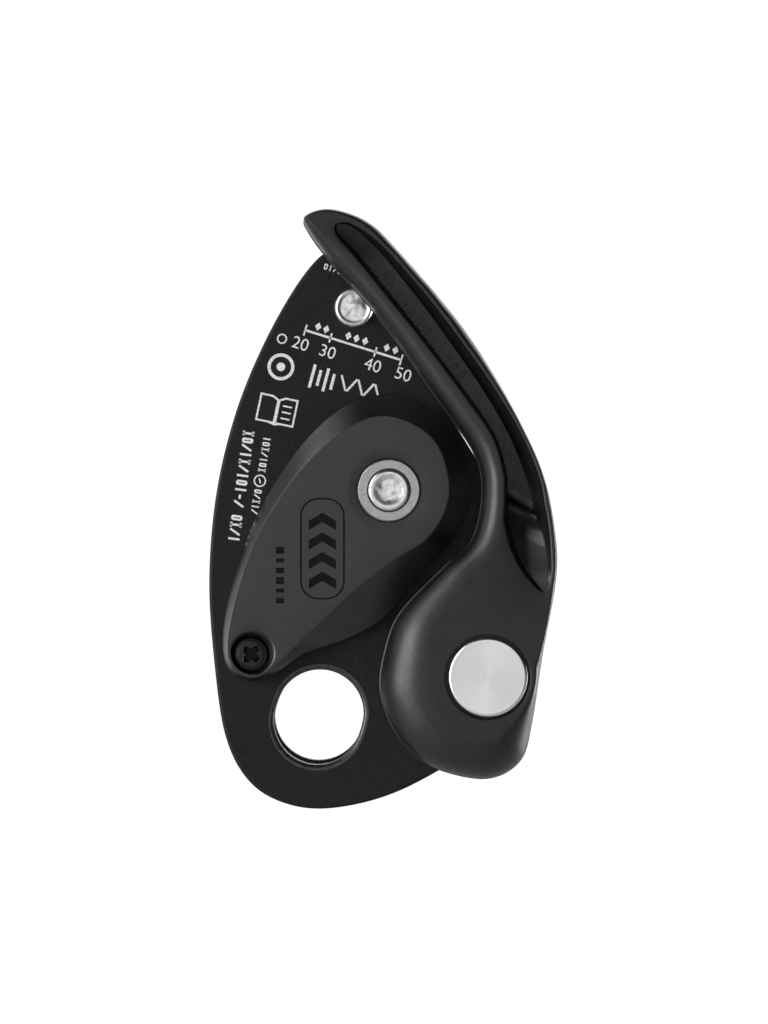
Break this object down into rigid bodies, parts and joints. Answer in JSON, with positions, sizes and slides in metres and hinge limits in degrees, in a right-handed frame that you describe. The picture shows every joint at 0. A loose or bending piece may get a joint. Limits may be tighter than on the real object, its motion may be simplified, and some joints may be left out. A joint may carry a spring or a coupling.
{
  "type": "rope descender",
  "caption": "Assisted-braking rope descender: two side plates, a grooved cam on an axle, a swinging plate that opens for the rope, and a hinged release handle.",
  "frame": {"origin": "middle of the attachment hole, halfway between the two side plates", "axes": "+Z runs from the hole towards the tip of the plates, +X towards the handle's axle, -Y out of the fixed plate on the handle side"},
  "size_m": [0.064, 0.0342, 0.11],
  "materials": {
    "plate_black": "satin black anodised",
    "cover_plastic": "moulded dark grey nylon",
    "handle_plastic": "moulded glass-filled nylon, fine texture",
    "washer_plastic": "natural acetal",
    "bright_steel": "turned stainless steel",
    "rivet_steel": "bright steel with a hammered head",
    "cast_steel": "investment-cast stainless, tumbled",
    "dark_steel": "phosphated steel",
    "black_steel": "blackened steel screw",
    "spring_steel": "drawn spring wire",
    "bronze": "sintered bronze"
  },
  "bodies": {
    "frame_body": {"fixed_side_plate": "plate_black", "plate_stop_pillar": "bright_steel", "friction_plate": "bright_steel", "friction_plate_rivet": "rivet_steel", "friction_plate_dowel": "bright_steel", "cam_axle": "rivet_steel", "cam_axle_ring": "bright_steel", "spring_cover": "cover_plastic", "cover_screw": "black_steel", "moving_plate_washer": "bright_steel", "handle_axle": "bright_steel", "handle_thrust_washer": "washer_plastic", "handle_base_ring": "handle_plastic"},
    "cam_body": {"cam": "cast_steel", "cam_bush": "bronze", "cam_drive_peg": "dark_steel", "cam_drive_arm": "dark_steel", "cam_roller": "dark_steel", "cam_return_spring": "spring_steel"},
    "moving_plate_body": {"moving_side_plate": "plate_black", "moving_plate_bush": "bronze"},
    "handle_body": {"handle": "handle_plastic", "handle_bush": "bronze", "handle_drive_snail": "dark_steel", "handle_return_spring": "spring_steel"}
  },
  "joints": [
    {"name": "cam_pivot", "type": "hinge", "parent": "frame_body", "child": "cam_body", "pos_m": [0.013, 0, 0.042], "axis": [0, -1, 0], "range_deg": [0, 33.5], "stiffness_Nm_per_rad": 0.05, "deforming": ["cam_return_spring"]},
    {"name": "moving_plate_pivot", "type": "hinge", "parent": "frame_body", "child": "moving_plate_body", "pos_m": [0.013, 0, 0.042], "axis": [0, 1, 0], "range_deg": [0, 115]},
    {"name": "handle_pivot", "type": "hinge", "parent": "frame_body", "child": "handle_body", "pos_m": [0.031, 0, 0.008], "axis": [0, 1, 0], "range_deg": [0, 140], "stiffness_Nm_per_rad": 0.04, "deforming": ["handle_return_spring"]}
  ]
}
